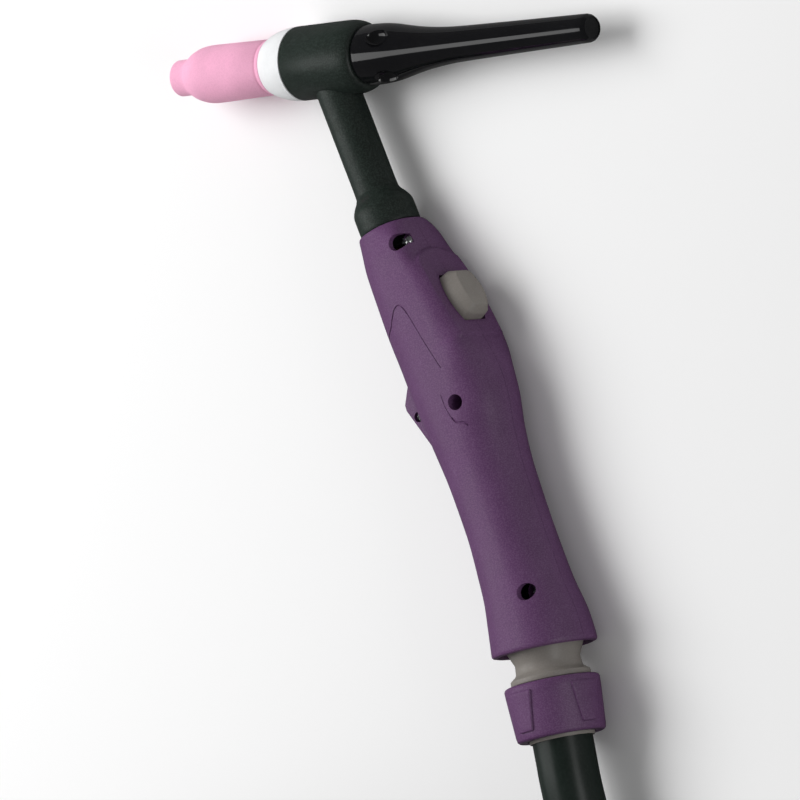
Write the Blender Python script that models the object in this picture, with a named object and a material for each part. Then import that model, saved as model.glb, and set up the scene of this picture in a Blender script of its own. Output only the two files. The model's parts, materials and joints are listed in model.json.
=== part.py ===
"""TIG welding torch lying on its side, with its cable, coil and plugs.

The torch is laid out in its own plane: X runs along the head towards the back cap,
Y runs away from the handle, and Z is the side that faces up. One empty leans the whole
torch until the head and the flared end of the handle rest on the ground. The cable's
solids hang on a second empty that stays level. Lengths in the tables are millimetres.
"""
import math

import bmesh
import bpy
from mathutils import Matrix, Vector

MM = 0.001
GAP = 0.3                      # left between touching pieces

# Head, along X from the crossing of the head and neck axes
HEAD_RADIUS = 15.0
HEAD_FRONT = -12.9
HEAD_REAR = 22.3
NOZZLE_FRONT = -78.4
NOZZLE_REAR = -27.5
CAP_END = 141.2
BODY_RADIUS = 9.5
ELECTRODE_RADIUS = 1.6

# Neck
NECK_ANGLE = math.radians(70)
NECK_RADIUS = 8.9
COLLAR_RADIUS = 12.6
SLEEVE_RADIUS = 7.0            # where the neck enters the handle
NECK_TUBE_END = 89.0

# Handle sections from top to bottom: centre x and y, depth to the front and to the back,
# half width, lean in degrees, and how square the back is (2 is an ellipse)
SECTIONS = [
    (26.1, -70.3, 13.6, 12.4, 14.0, 70.0, 2.2),
    (31.0, -76.2, 17.8, 10.9, 15.0, 70.0, 4.0),
    (34.3, -83.3, 19.5, 11.6, 16.0, 71.0, 4.6),
    (40.5, -96.0, 21.6, 14.5, 16.8, 72.0, 5.0),
    (46.4, -108.5, 23.4, 15.9, 17.2, 72.0, 5.2),
    (50.7, -121.0, 22.8, 18.1, 17.3, 72.5, 5.0),
    (54.6, -133.3, 22.2, 20.8, 17.3, 73.0, 3.0),
    (58.2, -145.7, 20.8, 21.2, 17.3, 73.5, 2.4),
    (61.6, -158.1, 18.9, 19.1, 17.0, 74.0, 2.2),
    (65.1, -170.5, 17.3, 17.7, 16.5, 74.0, 2.2),
    (69.1, -182.9, 17.1, 17.1, 16.3, 74.0, 2.2),
    (72.9, -195.3, 17.0, 17.0, 16.4, 74.0, 2.2),
    (76.6, -207.7, 18.0, 17.3, 16.8, 75.0, 2.2),
    (80.2, -220.1, 19.0, 17.9, 17.7, 77.0, 2.2),
    (83.5, -232.4, 21.0, 19.9, 19.2, 80.0, 2.2),
    (85.1, -243.0, 21.8, 21.4, 20.0, 83.0, 2.2),
]
WALL = 2.6
MOUTH_RADIUS = 9.0             # handle's top mouth, round the neck
SWIVEL_MOUTH = 16.1            # handle's bottom mouth, round the ball
ROUNDNESS = 2.2                # exponent of the handle's front
CABLE_ANGLE = math.radians(82.9)

# Screws: x, y, reach of the bosses, height of the seat under the head, length below the seat
SCREWS = {
    "top": (39.4, -75.9, 10.4, 5.0, 12.0),
    "middle": (65.6, -142.3, 14.6, 6.0, 15.0),
    "hook": (32.6, -146.0, 0.0, 1.4, 4.2),
    "bottom": (91.0, -220.4, 13.2, 5.0, 14.0),
}
WELL_RADIUS = 3.1
SCREW_HEAD = 2.6
SCREW_SHANK = 1.4

# Hanging hook on the front of the handle: tip, slope down, then back up inside the wall
HOOK_OUTLINE = [
    (29.3, -129.6), (29.4, -133.0), (26.9, -141.0), (27.5, -143.4), (43.0, -163.6),
    (45.2, -162.7), (40.2, -151.0), (34.9, -139.3), (30.6, -128.4),
]
HOOK_HALF = 3.9

# Button, on the flat panel at the back of the handle; heights are above the panel
BUTTON_CENTRE = (59.3, -100.4)
BUTTON_ANGLE = math.radians(58.5)
BUTTON_LENGTH = 21.8
BUTTON_WIDTH = 16.8
BUTTON_TAPER = 0.28            # share of the width lost at each end
BUTTON_PROUD = 6.9
FLANGE_TOP = -3.4
FLANGE_THICK = 1.4
SWITCH_HEIGHT = 5.4

# Swivel, along the cable's axis from the ball's centre
BALL_RADIUS = 16.2
BALL_SUNK = 4.4                # ball's centre above the handle's end
NUT_TOP = 18.3
NUT_END = 40.8
CABLE_RADIUS = 12.3
CABLE_START = 32.6

# Ground and coil
TORCH_X = -31.4
TORCH_Y = 133.51
REST_HEIGHT = 15.05
COIL_CENTRE = (-30.0, -475.0)
COIL_INNER = 110.7
COIL_OUTER = 160.3
COIL_BOTTOM = 2.0
COIL_TOP = 51.2
TIE_THICK = 1.4
TIE_WIDTH = 20.0
TAIL_RADIUS = 180.0
TAIL_END = 72.0                # degrees clockwise round the coil from its +X side
PLUG_HEIGHT = 19.3
LEAD_END = 148.0
LEAD_RADIUS = 173.5
LEAD_HEIGHT = 8.3

materials = {}


def material(name, colour, roughness, metallic=0.0):
    made = bpy.data.materials.new(name)
    made.use_nodes = True
    shader = made.node_tree.nodes["Principled BSDF"]
    shader.inputs["Base Color"].default_value = (*colour, 1.0)
    shader.inputs["Roughness"].default_value = roughness
    shader.inputs["Metallic"].default_value = metallic
    made.diffuse_color = (*colour, 1.0)
    materials[name] = made


def make_materials():
    material("ceramic", (0.86, 0.40, 0.58), 0.6)
    material("white_ptfe", (0.8, 0.8, 0.8), 0.45)
    material("rubber", (0.022, 0.03, 0.026), 0.5)
    material("black_plastic", (0.008, 0.008, 0.009), 0.15)
    material("purple_plastic", (0.105, 0.042, 0.12), 0.5)
    material("grey_plastic", (0.2, 0.18, 0.165), 0.4)
    material("brass", (0.75, 0.52, 0.22), 0.3, 1.0)
    material("copper", (0.8, 0.42, 0.28), 0.3, 1.0)
    material("tungsten", (0.45, 0.45, 0.47), 0.3, 1.0)
    material("zinc", (0.7, 0.72, 0.72), 0.25, 1.0)


def empty(name, place, parent=None):
    made = bpy.data.objects.new(name, None)
    made.empty_display_size = 0.02
    bpy.context.collection.objects.link(made)
    made.parent = parent
    made.matrix_local = place
    return made


def along(angle, origin=(0.0, 0.0)):
    """A placement whose X axis points down the handle at an angle from the head's axis."""
    turn = Matrix.Rotation(-angle, 4, "Z")
    return Matrix.Translation(Vector((*origin, 0.0)) * MM) @ turn


def piece(name, mesh_source, finish, parent, place=Matrix()):
    """Turn a bmesh into a named object under its parent."""
    mesh = bpy.data.meshes.new(name)
    mesh_source.to_mesh(mesh)
    mesh_source.free()
    mesh.shade_smooth()
    mesh.set_sharp_from_angle(angle=math.radians(35))
    made = bpy.data.objects.new(name, mesh)
    bpy.context.collection.objects.link(made)
    if finish:
        mesh.materials.append(materials[finish])
    made.parent = parent
    made.matrix_local = place
    return made


def cutter(made):
    made.hide_render = True
    made.display_type = "WIRE"
    return made


def combine(target, tool, operation="DIFFERENCE", solver="EXACT"):
    step = target.modifiers.new(tool.name, "BOOLEAN")
    step.object = tool
    step.operation = operation
    step.solver = solver


def turned_mesh(profile, sides):
    """Spin (along, radius) points about X. Points off the axis close into a ring."""
    source = bmesh.new()
    points = [source.verts.new(Vector((x, r, 0.0)) * MM) for x, r in profile]
    edges = [source.edges.new(pair) for pair in zip(points, points[1:])]
    if profile[0][1] > 0.0:
        edges.append(source.edges.new((points[-1], points[0])))
    bmesh.ops.spin(source, geom=points + edges, cent=(0, 0, 0), axis=(1, 0, 0),
                   angle=math.tau, steps=sides, use_merge=True)
    bmesh.ops.remove_doubles(source, verts=source.verts, dist=1e-6)
    bmesh.ops.recalc_face_normals(source, faces=source.faces)
    return source


def turned(name, profile, finish, parent, place=Matrix(), sides=24):
    return piece(name, turned_mesh(profile, sides), finish, parent, place)


def rod(name, start, end, radius, finish, parent, place=Matrix(), sides=24):
    profile = [(start, 0.0), (start, radius), (end, radius), (end, 0.0)]
    return turned(name, profile, finish, parent, place, sides)


def tube_profile(start, end, inner, outer):
    return [(start, inner), (start, outer), (end, outer), (end, inner)]


def loft(name, rings, finish, parent, walled=False):
    """Join rings of points in order and close both ends. A walled ring goes out and back."""
    source = bmesh.new()
    rows = [[source.verts.new(Vector(p) * MM) for p in ring] for ring in rings]
    for row in rows:
        for i, vert in enumerate(row):
            source.edges.new((vert, row[(i + 1) % len(row)]))
    for first, second in zip(rows, rows[1:]):
        count = len(first)
        for i in range(count):
            j = (i + 1) % count
            source.faces.new((first[i], first[j], second[j], second[i]))
    for row in (rows[0], rows[-1]):
        last = len(row) - 1
        if walled:
            for i in range(len(row) // 2 - 1):
                source.faces.new((row[i], row[i + 1], row[last - i - 1], row[last - i]))
        else:
            source.faces.new(row)
    bmesh.ops.recalc_face_normals(source, faces=source.faces)
    return piece(name, source, finish, parent)


def box_mesh(size, centre):
    source = bmesh.new()
    place = Matrix.Translation(Vector(centre) * MM) @ Matrix.Diagonal((*(Vector(size) * MM), 1.0))
    bmesh.ops.create_cube(source, size=1.0, matrix=place)
    return source


def section_at(s):
    """The handle's section at a fractional place in the table, on a smooth curve."""
    i = min(int(s), len(SECTIONS) - 2)
    t = s - i
    rows = [SECTIONS[max(0, min(len(SECTIONS) - 1, i + k))] for k in (-1, 0, 1, 2)]
    return [
        0.5 * (2 * b + (c - a) * t + (2 * a - 5 * b + 4 * c - d) * t * t
               + (3 * b - a - 3 * c + d) * t ** 3)
        for a, b, c, d in zip(*rows)
    ]


def power(value, exponent):
    return math.copysign(abs(value) ** exponent, value)


def outline_point(s, angle, inset=0.0, shift=0.0, radius=None):
    """A point round the handle: angle 0 is its back, a half turn is its front."""
    x, y, front, back, width, lean, squareness = section_at(s)
    at_back = math.cos(angle) > 0.0
    depth, exponent = (back, squareness) if at_back else (front, ROUNDNESS)
    if radius:
        depth, width, exponent = radius, radius, 2.0
    else:
        depth, width = depth - inset, width - inset
    lean = math.radians(lean)
    out = depth * power(math.cos(angle), 2 / exponent)
    side = width * power(math.sin(angle), 2 / exponent) + shift
    return (x + out * math.sin(lean), y + out * math.cos(lean), side)


def shell_ring(s, side):
    """One C-shaped ring of a half shell: out round the surface and back inside it."""
    steps = 12
    end = len(SECTIONS) - 1
    mouth = {0: MOUTH_RADIUS, end: SWIVEL_MOUTH}.get(s)
    angles = [math.pi * i / steps for i in range(steps + 1)]
    outer = [outline_point(s, a * side, 0.0, side * GAP / 2) for a in angles]
    inner = [outline_point(s, a * side, WALL, side * GAP / 2, mouth) for a in reversed(angles)]
    return outer + inner


def handle_shell(name, side, torch):
    end = len(SECTIONS) - 1
    places = [0, 0.3] + list(range(1, end)) + [end - 0.25, end]
    return loft(name, [shell_ring(s, side) for s in places],
                "purple_plastic", torch, walled=True)


def patch(name, first, last, middle, spread, outset, inset, finish, torch):
    """A curved panel on the handle's surface, widest half way between its ends."""
    rows = []
    across = 8
    along_count = 10
    for k in range(along_count + 1):
        t = k / along_count
        s = first + (last - first) * t
        half = spread * (0.35 + 0.65 * math.sin(math.pi * (0.1 + 0.8 * t)))
        angles = [middle - half + 2 * half * i / across for i in range(across + 1)]
        outer = [outline_point(s, a, -outset) for a in angles]
        inner = [outline_point(s, a, inset) for a in reversed(angles)]
        rows.append(outer + inner)
    return loft(name, rows, finish, torch, walled=True)


def make_head(torch):
    """The gas and current path: nozzle, gasket, collet, electrode, body and cap."""
    turned("nozzle", [
        (NOZZLE_FRONT, 4.75), (NOZZLE_FRONT, 7.0), (NOZZLE_FRONT + 0.6, 7.3), (-72.2, 7.3),
        (-71.0, 7.7), (-69.6, 8.7), (-67.6, 9.8), (-65.4, 10.7), (-63.2, 11.3), (-60.2, 11.7),
        (-45.0, 11.5), (-29.6, 11.25), (-29.3, 10.9), (-28.9, 11.2), (NOZZLE_REAR, 11.2), (NOZZLE_REAR, 7.3),
        (-39.0, 7.3), (-40.0, 8.2), (-58.0, 8.2), (-64.0, 5.4), (-69.0, 4.75)],
        "ceramic", torch)
    turned("nozzle_gasket", [
        (-27.2, 7.3), (-27.2, 11.6), (-25.0, 12.6), (-21.0, 13.9), (-17.0, 14.7),
        (-13.2, HEAD_RADIUS), (-13.2, 7.3)], "white_ptfe", torch)
    turned("electrode", [
        (-75.0, 0.0), (-75.0, 0.3), (-70.5, ELECTRODE_RADIUS), (75.0, ELECTRODE_RADIUS),
        (75.0, 0.0)], "tungsten", torch, sides=14)
    turned("collet", tube_profile(-46.0, 8.6, 1.9, 2.4), "copper", torch, sides=16)
    collet_body = turned("collet_body", [
        (-49.0, 1.9), (-50.0, 5.2), (-38.4, 5.2), (-38.0, 7.0), (-13.4, 7.0), (-13.4, 5.0),
        (2.0, 5.0), (2.0, 2.7), (-46.4, 2.7)], "copper", torch, sides=20)
    for number in range(2):
        port = turned_mesh([(-9.0, 0.0), (-9.0, 0.9), (9.0, 0.9), (9.0, 0.0)], 8)
        turn = Matrix.Rotation(math.radians(45 + 90 * number), 4, "X")
        place = Matrix.Translation((-0.043, 0, 0)) @ turn @ Matrix.Rotation(math.pi / 2, 4, "Z")
        combine(collet_body, cutter(piece(f"gas_port_{number + 1}", port, None, torch, place)))
    turned("torch_body", [
        (-12.6, 5.4), (-12.6, BODY_RADIUS), (19.5, BODY_RADIUS), (19.5, 8.1), (7.0, 8.1),
        (7.0, 3.0), (3.0, 3.0), (3.0, 5.4)], "brass", torch)
    turned("back_cap_oring", [
        (21.0 + 0.75 * math.cos(a), 8.8 + 0.75 * math.sin(a))
        for a in (math.tau * i / 8 for i in range(8))], "rubber", torch)
    turned("back_cap", [
        (130.0, 0.0), (130.0, 2.2), (9.0, 2.2), (9.0, 7.7), (22.7, 7.7), (22.7, 11.85),
        (23.3, 12.25), (34.6, 11.85), (39.5, 11.15), (43.5, 10.35), (49.0, 9.35), (54.7, 8.5),
        (62.0, 7.75), (70.0, 7.25), (100.5, 6.55), (136.9, 5.85), (CAP_END - 0.8, 5.65),
        (CAP_END, 4.85), (CAP_END, 0.0)], "black_plastic", torch)


def make_neck(torch):
    """Rubber cover over the head and neck, and the tube inside it."""
    down_neck = along(NECK_ANGLE)
    cover = turned("head_cover", [
        (HEAD_FRONT, 0.0), (HEAD_FRONT, HEAD_RADIUS), (17.5, 14.85), (19.6, 14.3), (21.4, 13.3),
        (HEAD_REAR, 12.1), (HEAD_REAR, 0.0)], "rubber", torch)
    sleeve = turned_mesh([
        (11.6, 0.0), (11.6, NECK_RADIUS), (58.0, NECK_RADIUS), (60.8, 9.6), (63.6, 12.1),
        (66.2, COLLAR_RADIUS), (73.6, COLLAR_RADIUS), (74.2, 12.5), (74.2, SLEEVE_RADIUS),
        (84.0, SLEEVE_RADIUS), (84.0, 0.0)], 24)
    combine(cover, cutter(piece("neck_cover_shape", sleeve, None, torch, down_neck)), "UNION")
    room = BODY_RADIUS + GAP
    head_bore = turned_mesh([(-20.0, 0.0), (-20.0, room), (30.0, room), (30.0, 0.0)], 24)
    combine(cover, cutter(piece("head_bore", head_bore, None, torch)), solver="MANIFOLD")
    neck_bore = turned_mesh([(5.0, 0.0), (5.0, 4.3), (95.0, 4.3), (95.0, 0.0)], 16)
    neck_bore = cutter(piece("neck_bore", neck_bore, None, torch, down_neck))
    combine(cover, neck_bore, solver="MANIFOLD")
    end = NECK_TUBE_END
    turned("neck_tube", tube_profile(12.0, end, 2.6, 4.0), "copper", torch, down_neck, 16)
    turned("power_union_nut", [
        (end + GAP, 0.0), (end + GAP, 7.0), (end + 1.3, 8.0), (end + 11.3, 8.0),
        (end + 12.3, 6.2), (end + 15.3, 6.2), (end + 15.3, 0.0)], "brass", torch, down_neck, 6)


def make_handle(torch):
    shells = {"left": handle_shell("handle_shell_left", 1, torch),
              "right": handle_shell("handle_shell_right", -1, torch)}
    front, back = math.pi, 0.0
    patch("front_insert", 2.3, 4.6, front, 0.62, 0.0, 1.2, "purple_plastic", torch)
    insert_cut = cutter(patch("insert_recess", 2.26, 4.64, front, 0.66, 3.0, 1.5, None, torch))
    bezel = patch("button_bezel", 1.95, 5.0, back, 0.6, 0.0, 1.5, "purple_plastic", torch)
    bezel_cut = cutter(patch("bezel_recess", 1.91, 5.04, back, 0.64, 3.0, 1.8, None, torch))
    window = [button_ring(height, 0.5, 0.5) for height in (-6.0, 6.0)]
    window = cutter(loft("button_window", window, None, torch))
    combine(bezel, window)
    for side, shell in zip((1, -1), shells.values()):
        fin = loft(f"hook_fin_{side}", [
            [(x, y, z) for x, y in HOOK_OUTLINE]
            for z in (side * GAP / 2, side * HOOK_HALF)], None, torch)
        combine(shell, cutter(fin), "UNION")
    for name, (x, y, reach, seat, length) in SCREWS.items():
        place = Matrix.Translation(Vector((x, y, 0.0)) * MM) @ Matrix.Rotation(-math.pi / 2, 4, "Y")
        if reach:
            for side in (1, -1):
                boss = turned_mesh([
                    (side * GAP / 2, 0.0), (side * GAP / 2, 3.8), (side * reach, 3.8),
                    (side * reach, 0.0)], 16)
                boss = cutter(piece(f"boss_{name}_{side}", boss, None, torch, place))
                combine(shells["left" if side > 0 else "right"], boss, "UNION", "MANIFOLD")
        drill = turned_mesh([
            (seat - length - GAP, 0.0), (seat - length - GAP, SCREW_SHANK + 0.35),
            (seat, SCREW_SHANK + 0.35), (seat, WELL_RADIUS), (30.0, WELL_RADIUS), (30.0, 0.0)], 16)
        drill = cutter(piece(f"well_{name}", drill, None, torch, place))
        for shell in shells.values():
            combine(shell, drill, solver="MANIFOLD")
        turned(f"handle_screw_{name}", [
            (seat - length, 0.0), (seat - length, SCREW_SHANK), (seat + GAP, SCREW_SHANK),
            (seat + GAP, SCREW_HEAD), (seat + 1.6, SCREW_HEAD), (seat + 2.1, 1.8),
            (seat + 2.1, 0.0)], "zinc", torch, place, 16)
    for shell in shells.values():
        combine(shell, insert_cut)
        combine(shell, bezel_cut)
        combine(shell, window)


def button_frame():
    """Placement on the handle's back panel: X along the handle, Y outwards."""
    along_panel = Vector((math.cos(BUTTON_ANGLE), -math.sin(BUTTON_ANGLE), 0.0))
    outwards = Vector((math.sin(BUTTON_ANGLE), math.cos(BUTTON_ANGLE), 0.0))
    place = Matrix((along_panel, outwards, (0, 0, 1))).transposed().to_4x4()
    place.translation = Vector((*BUTTON_CENTRE, 0.0)) * MM
    return place


def button_ring(height, grow=0.0, wider=0.0):
    """The button's boat-shaped outline at one height, in the torch's lengths."""
    place = button_frame()
    steps = (-1.0, -0.5, 0.0, 0.5, 1.0)
    length = BUTTON_LENGTH / 2 + grow
    width = BUTTON_WIDTH / 2 + wider
    side = [(length * k, height, width * (1 - BUTTON_TAPER * k * k)) for k in steps]
    other = [(x, y, -z) for x, y, z in reversed(side)]
    return [place @ (Vector(p) * MM) / MM for p in side + other]


def make_button(torch):
    """The button with its flange, the plunger under it and the switch it presses."""
    place = button_frame()
    flange_bottom = FLANGE_TOP - FLANGE_THICK
    loft("button", [
        button_ring(flange_bottom, 1.0, 1.6), button_ring(FLANGE_TOP, 1.0, 1.6),
        button_ring(FLANGE_TOP), button_ring(0.0), button_ring(3.4, -0.6, -0.8),
        button_ring(BUTTON_PROUD, -2.8, -3.0)], "grey_plastic", torch)
    upright = place @ Matrix.Rotation(math.pi / 2, 4, "Z")
    plunger_top = flange_bottom - GAP
    rod("switch_plunger", plunger_top - 4.2, plunger_top, 1.2, "grey_plastic", torch, upright, 12)
    top = plunger_top - 2.4
    switch = box_mesh((20.0, SWITCH_HEIGHT, 6.4), (0.0, top - SWITCH_HEIGHT / 2, 0.0))
    switch = piece("microswitch", switch, "black_plastic", torch, place)
    well = turned_mesh([(top - 4.6, 0.0), (top - 4.6, 1.6), (top + 2, 1.6), (top + 2, 0.0)], 12)
    combine(switch, cutter(piece("plunger_hole", well, None, torch, upright)))


def make_swivel(torch):
    """Seat ring, ball, nut and clamp ring round the cable where it leaves the handle."""
    end = Vector(SECTIONS[-1][:2])
    down = Vector((math.cos(CABLE_ANGLE), -math.sin(CABLE_ANGLE)))
    place = along(CABLE_ANGLE, end - BALL_SUNK * down)
    ball = [(x, math.sqrt(BALL_RADIUS ** 2 - x ** 2)) for x in (-12, -9, -6, -3, 0, 3, 6, 9.2)]
    turned("ball_joint", [(-12.0, 9.5)] + ball + [
        (13.7, 13.3), (15.6, 16.2), (18.0, 16.2), (18.0, 15.2), (32.0, 15.2), (32.0, 9.5)],
        "grey_plastic", torch, place)
    seat = [(x, math.sqrt((BALL_RADIUS + 0.4) ** 2 - x ** 2)) for x in (-8, -10, -12, -13.5)]
    turned("swivel_seat", seat + [(-13.5, 15.0), (-8.0, 15.8)], "black_plastic", torch, place)
    turned("cable_nut", [
        (NUT_TOP, 15.5), (NUT_TOP, 18.6), (19.0, 19.3), (NUT_END - 0.8, 17.9), (NUT_END, 17.2),
        (NUT_END, 13.8), (36.6, 13.8), (36.2, 15.5)], "purple_plastic", torch, place)
    turned("cable_clamp_ring", [
        (32.4, 12.7), (32.4, 15.1), (35.9, 15.1), (36.3, 13.4), (42.1, 13.4), (42.1, 12.7)],
        "grey_plastic", torch, place)
    rod("hose_in_ball", -11.0, 30.0, 6.5, "rubber", torch, place, 16)


def smooth_route(points, spacing):
    """Evenly spaced points on a smooth curve through a few chosen ones."""
    points = [Vector(p) for p in points]
    padded = [2 * points[0] - points[1]] + points + [2 * points[-1] - points[-2]]
    fine = []
    for a, b, c, d in zip(padded, padded[1:], padded[2:], padded[3:]):
        for k in range(20):
            t = k / 20
            fine.append(0.5 * (2 * b + (c - a) * t + (2 * a - 5 * b + 4 * c - d) * t * t
                               + (3 * b - a - 3 * c + d) * t ** 3))
    fine.append(points[-1])
    total = sum((q - p).length for p, q in zip(fine, fine[1:]))
    count = max(2, round(total / spacing))
    route, walked, wanted = [fine[0]], 0.0, total / count
    for p, q in zip(fine, fine[1:]):
        step = (q - p).length
        while walked + step >= wanted - 1e-9 and len(route) < count:
            route.append(p.lerp(q, (wanted - walked) / step))
            wanted += total / count
        walked += step
    return route + [fine[-1]]


def cord_tube(name, points, radius, spacing, resolution, finish, parent):
    curve = bpy.data.curves.new(name, "CURVE")
    curve.dimensions = "3D"
    curve.bevel_depth = radius * MM
    curve.bevel_resolution = resolution
    curve.use_fill_caps = True
    route = smooth_route(points, spacing)
    line = curve.splines.new("POLY")
    line.points.add(len(route) - 1)
    for target, source in zip(line.points, route):
        target.co = (*(source * MM), 1.0)
    curve.materials.append(materials[finish])
    made = bpy.data.objects.new(name, curve)
    bpy.context.collection.objects.link(made)
    made.parent = parent
    return made


def coil_sector(name, inner, outer, low, high, centre_angle, half_angle, finish, ground):
    """Part of a ring of rectangular section round the coil's axis."""
    source = bmesh.new()
    place = Matrix.Rotation(centre_angle - half_angle, 4, "Z")
    corners = ((inner, low), (outer, low), (outer, high), (inner, high))
    face = source.faces.new([source.verts.new(place @ Vector((r, 0, z)) * MM) for r, z in corners])
    steps = 3
    bmesh.ops.spin(source, geom=[face] + face.edges[:] + face.verts[:], cent=(0, 0, 0),
                   axis=(0, 0, 1), angle=2 * half_angle, steps=steps)
    bmesh.ops.recalc_face_normals(source, faces=source.faces)
    return piece(name, source, finish, ground, coil_place())


def coil_place():
    return Matrix.Translation(Vector((*COIL_CENTRE, 0.0)) * MM)


def round_coil(angle, radius, height):
    """A point clockwise round the coil from its +X side."""
    angle = math.radians(angle)
    return (COIL_CENTRE[0] + radius * math.cos(angle),
            COIL_CENTRE[1] - radius * math.sin(angle), height)


def make_cable(torch, ground):
    """The cable's visible stretch, its coil with three ties, the tail and the plugs."""
    cord_tube("power_cable", [
        (35.9, -98.6, 0), (38.6, -106.5, 0), (43.2, -119.0, 0), (51.5, -139.0, 0),
        (59.5, -160.0, 0),
        (66.5, -182.0, 0), (74.0, -205.0, 0), (79.5, -219.0, 0)], 5.2, 12.0, 2, "rubber", torch)
    cord_tube("cable_lead", [
        (88.60, -270.90, 20.88), (90.45, -285.80, 21.20), (92.30, -300.70, 21.45),
        (95.3, -323.0, 19.9), (98.8, -345.0, 16.7), (102.2, -365.0, 14.0)],
        CABLE_RADIUS, 15.0, 4, "rubber", ground)
    coil = [(-COIL_TOP, COIL_INNER + 6), (-COIL_TOP, COIL_OUTER - 6), (6 - COIL_TOP, COIL_OUTER),
            (-COIL_BOTTOM - 6, COIL_OUTER), (-COIL_BOTTOM, COIL_OUTER - 6),
            (-COIL_BOTTOM, COIL_INNER + 6), (-COIL_BOTTOM - 6, COIL_INNER),
            (6 - COIL_TOP, COIL_INNER)]
    turned("cable_coil", coil, "rubber", ground,
           coil_place() @ Matrix.Rotation(math.pi / 2, 4, "Y"), 48)
    half = TIE_WIDTH / 2 / COIL_OUTER
    for number, angle in enumerate((110, 215, 300)):
        turn = -math.radians(angle)
        tie = coil_sector(f"cable_tie_{number + 1}", COIL_INNER - 0.5 - TIE_THICK,
                          COIL_OUTER + 0.3 + TIE_THICK, 0.0, COIL_TOP + 0.3 + TIE_THICK,
                          turn, half, "rubber", ground)
        room = coil_sector(f"tie_room_{number + 1}", COIL_INNER - 0.5, COIL_OUTER + 0.3,
                           TIE_THICK, COIL_TOP + 0.3, turn, half * 1.5, None, ground)
        combine(tie, cutter(room))
    tail = [round_coil(a, TAIL_RADIUS, z) for a, z in ((52, 12.6), (59, 14.2), (66, 18.4))]
    tail.append(round_coil(TAIL_END, TAIL_RADIUS, PLUG_HEIGHT))
    cord_tube("cable_tail", tail, CABLE_RADIUS, 15.0, 4, "rubber", ground)
    make_plugs(ground)


def onward(angle, radius, height):
    """A placement whose X axis points on along the coil's clockwise way round."""
    place = Matrix.Translation(Vector(round_coil(angle, radius, height)) * MM)
    return place @ Matrix.Rotation(-math.radians(90 + angle), 4, "Z")


def make_plugs(ground):
    """Boot, power plug with its pin, and the button's lead with its own plug."""
    place = onward(TAIL_END, TAIL_RADIUS, PLUG_HEIGHT)
    turned("plug_boot", [
        (1.3, 0.0), (1.3, 13.2), (12.0, 14.2), (28.0, 18.6), (30.0, 19.0), (38.3, 19.0),
        (38.3, 0.0)], "rubber", ground, place)
    turned("plug_body", [
        (38.6, 0.0), (38.6, 13.0), (76.0, 13.0), (78.0, 12.0), (82.0, 12.0), (82.0, 0.0)],
        "black_plastic", ground, place)
    turned("plug_pin", [
        (82.3, 0.0), (82.3, 6.5), (104.0, 6.5), (106.0, 5.5), (106.0, 0.0)], "brass", ground, place)
    exit_point = place @ (Vector((38.8, -16.0, 0.0)) * MM) / MM
    cord_tube("control_lead", [
        exit_point, place @ (Vector((50.0, -16.4, -1.5)) * MM) / MM,
        round_coil(99, 169.5, 8.0), round_coil(107, 168.5, 3.0), round_coil(118, 168.5, 2.7),
        round_coil(130, 169.0, 2.7), round_coil(141, 171.5, 4.5),
        round_coil(LEAD_END, LEAD_RADIUS, LEAD_HEIGHT)], 2.5, 10.0, 2, "rubber", ground)
    turned("control_plug", [
        (0.6, 0.0), (0.6, 3.4), (8.0, 5.0), (9.0, 7.2), (10.0, 8.0), (30.0, 8.0), (30.6, 6.8),
        (37.0, 6.8), (37.0, 0.0)], "black_plastic", ground,
        onward(LEAD_END, LEAD_RADIUS, LEAD_HEIGHT), 20)


def main():
    for old in list(bpy.data.objects):
        bpy.data.objects.remove(old)
    make_materials()
    flare = SECTIONS[-1][4] + GAP / 2
    drop = (flare - HEAD_RADIUS) / -SECTIONS[-1][1]
    ground = empty("ground", Matrix.Translation(Vector((TORCH_X, TORCH_Y, 0.0)) * MM))
    lean = Matrix.Translation((0, 0, REST_HEIGHT * MM)) @ Matrix.Rotation(-math.atan(drop), 4, "X")
    torch = empty("torch", lean, ground)
    make_head(torch)
    make_neck(torch)
    make_handle(torch)
    make_button(torch)
    make_swivel(torch)
    make_cable(torch, ground)


main()
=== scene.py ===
import json
import math
import bmesh
import bpy
from mathutils import Matrix, Vector


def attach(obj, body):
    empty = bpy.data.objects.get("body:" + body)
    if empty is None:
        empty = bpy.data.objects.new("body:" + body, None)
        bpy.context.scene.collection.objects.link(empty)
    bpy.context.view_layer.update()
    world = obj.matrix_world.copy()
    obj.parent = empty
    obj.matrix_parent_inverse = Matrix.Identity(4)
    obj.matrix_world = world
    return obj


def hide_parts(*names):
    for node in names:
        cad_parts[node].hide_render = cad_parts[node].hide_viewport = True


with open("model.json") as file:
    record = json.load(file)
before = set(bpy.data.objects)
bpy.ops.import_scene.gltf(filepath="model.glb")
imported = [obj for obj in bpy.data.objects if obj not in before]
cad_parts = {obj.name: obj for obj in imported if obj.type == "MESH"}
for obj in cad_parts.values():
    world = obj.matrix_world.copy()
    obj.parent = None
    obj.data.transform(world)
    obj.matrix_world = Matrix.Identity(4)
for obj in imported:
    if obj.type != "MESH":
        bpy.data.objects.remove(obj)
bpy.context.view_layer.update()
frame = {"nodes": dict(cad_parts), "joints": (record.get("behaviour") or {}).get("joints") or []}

# The torch is worked out in its own plane, in millimetres: X along the head towards the
# back cap, Y away from the handle, Z out of the side that faces up.
mm = 0.001
joints = {joint["name"]: joint for joint in frame["joints"]}
headAxis = Vector(joints["cap_screw"]["axis"])
sideAxis = Vector(joints["swivel_tilt"]["axis"])
torchPlace = Matrix((headAxis, sideAxis.cross(headAxis), sideAxis)).transposed().to_4x4()
torchPlace.translation = joints["cap_screw"]["pos_m"]
ballPoint = Vector(joints["swivel_tilt"]["pos_m"])


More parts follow.
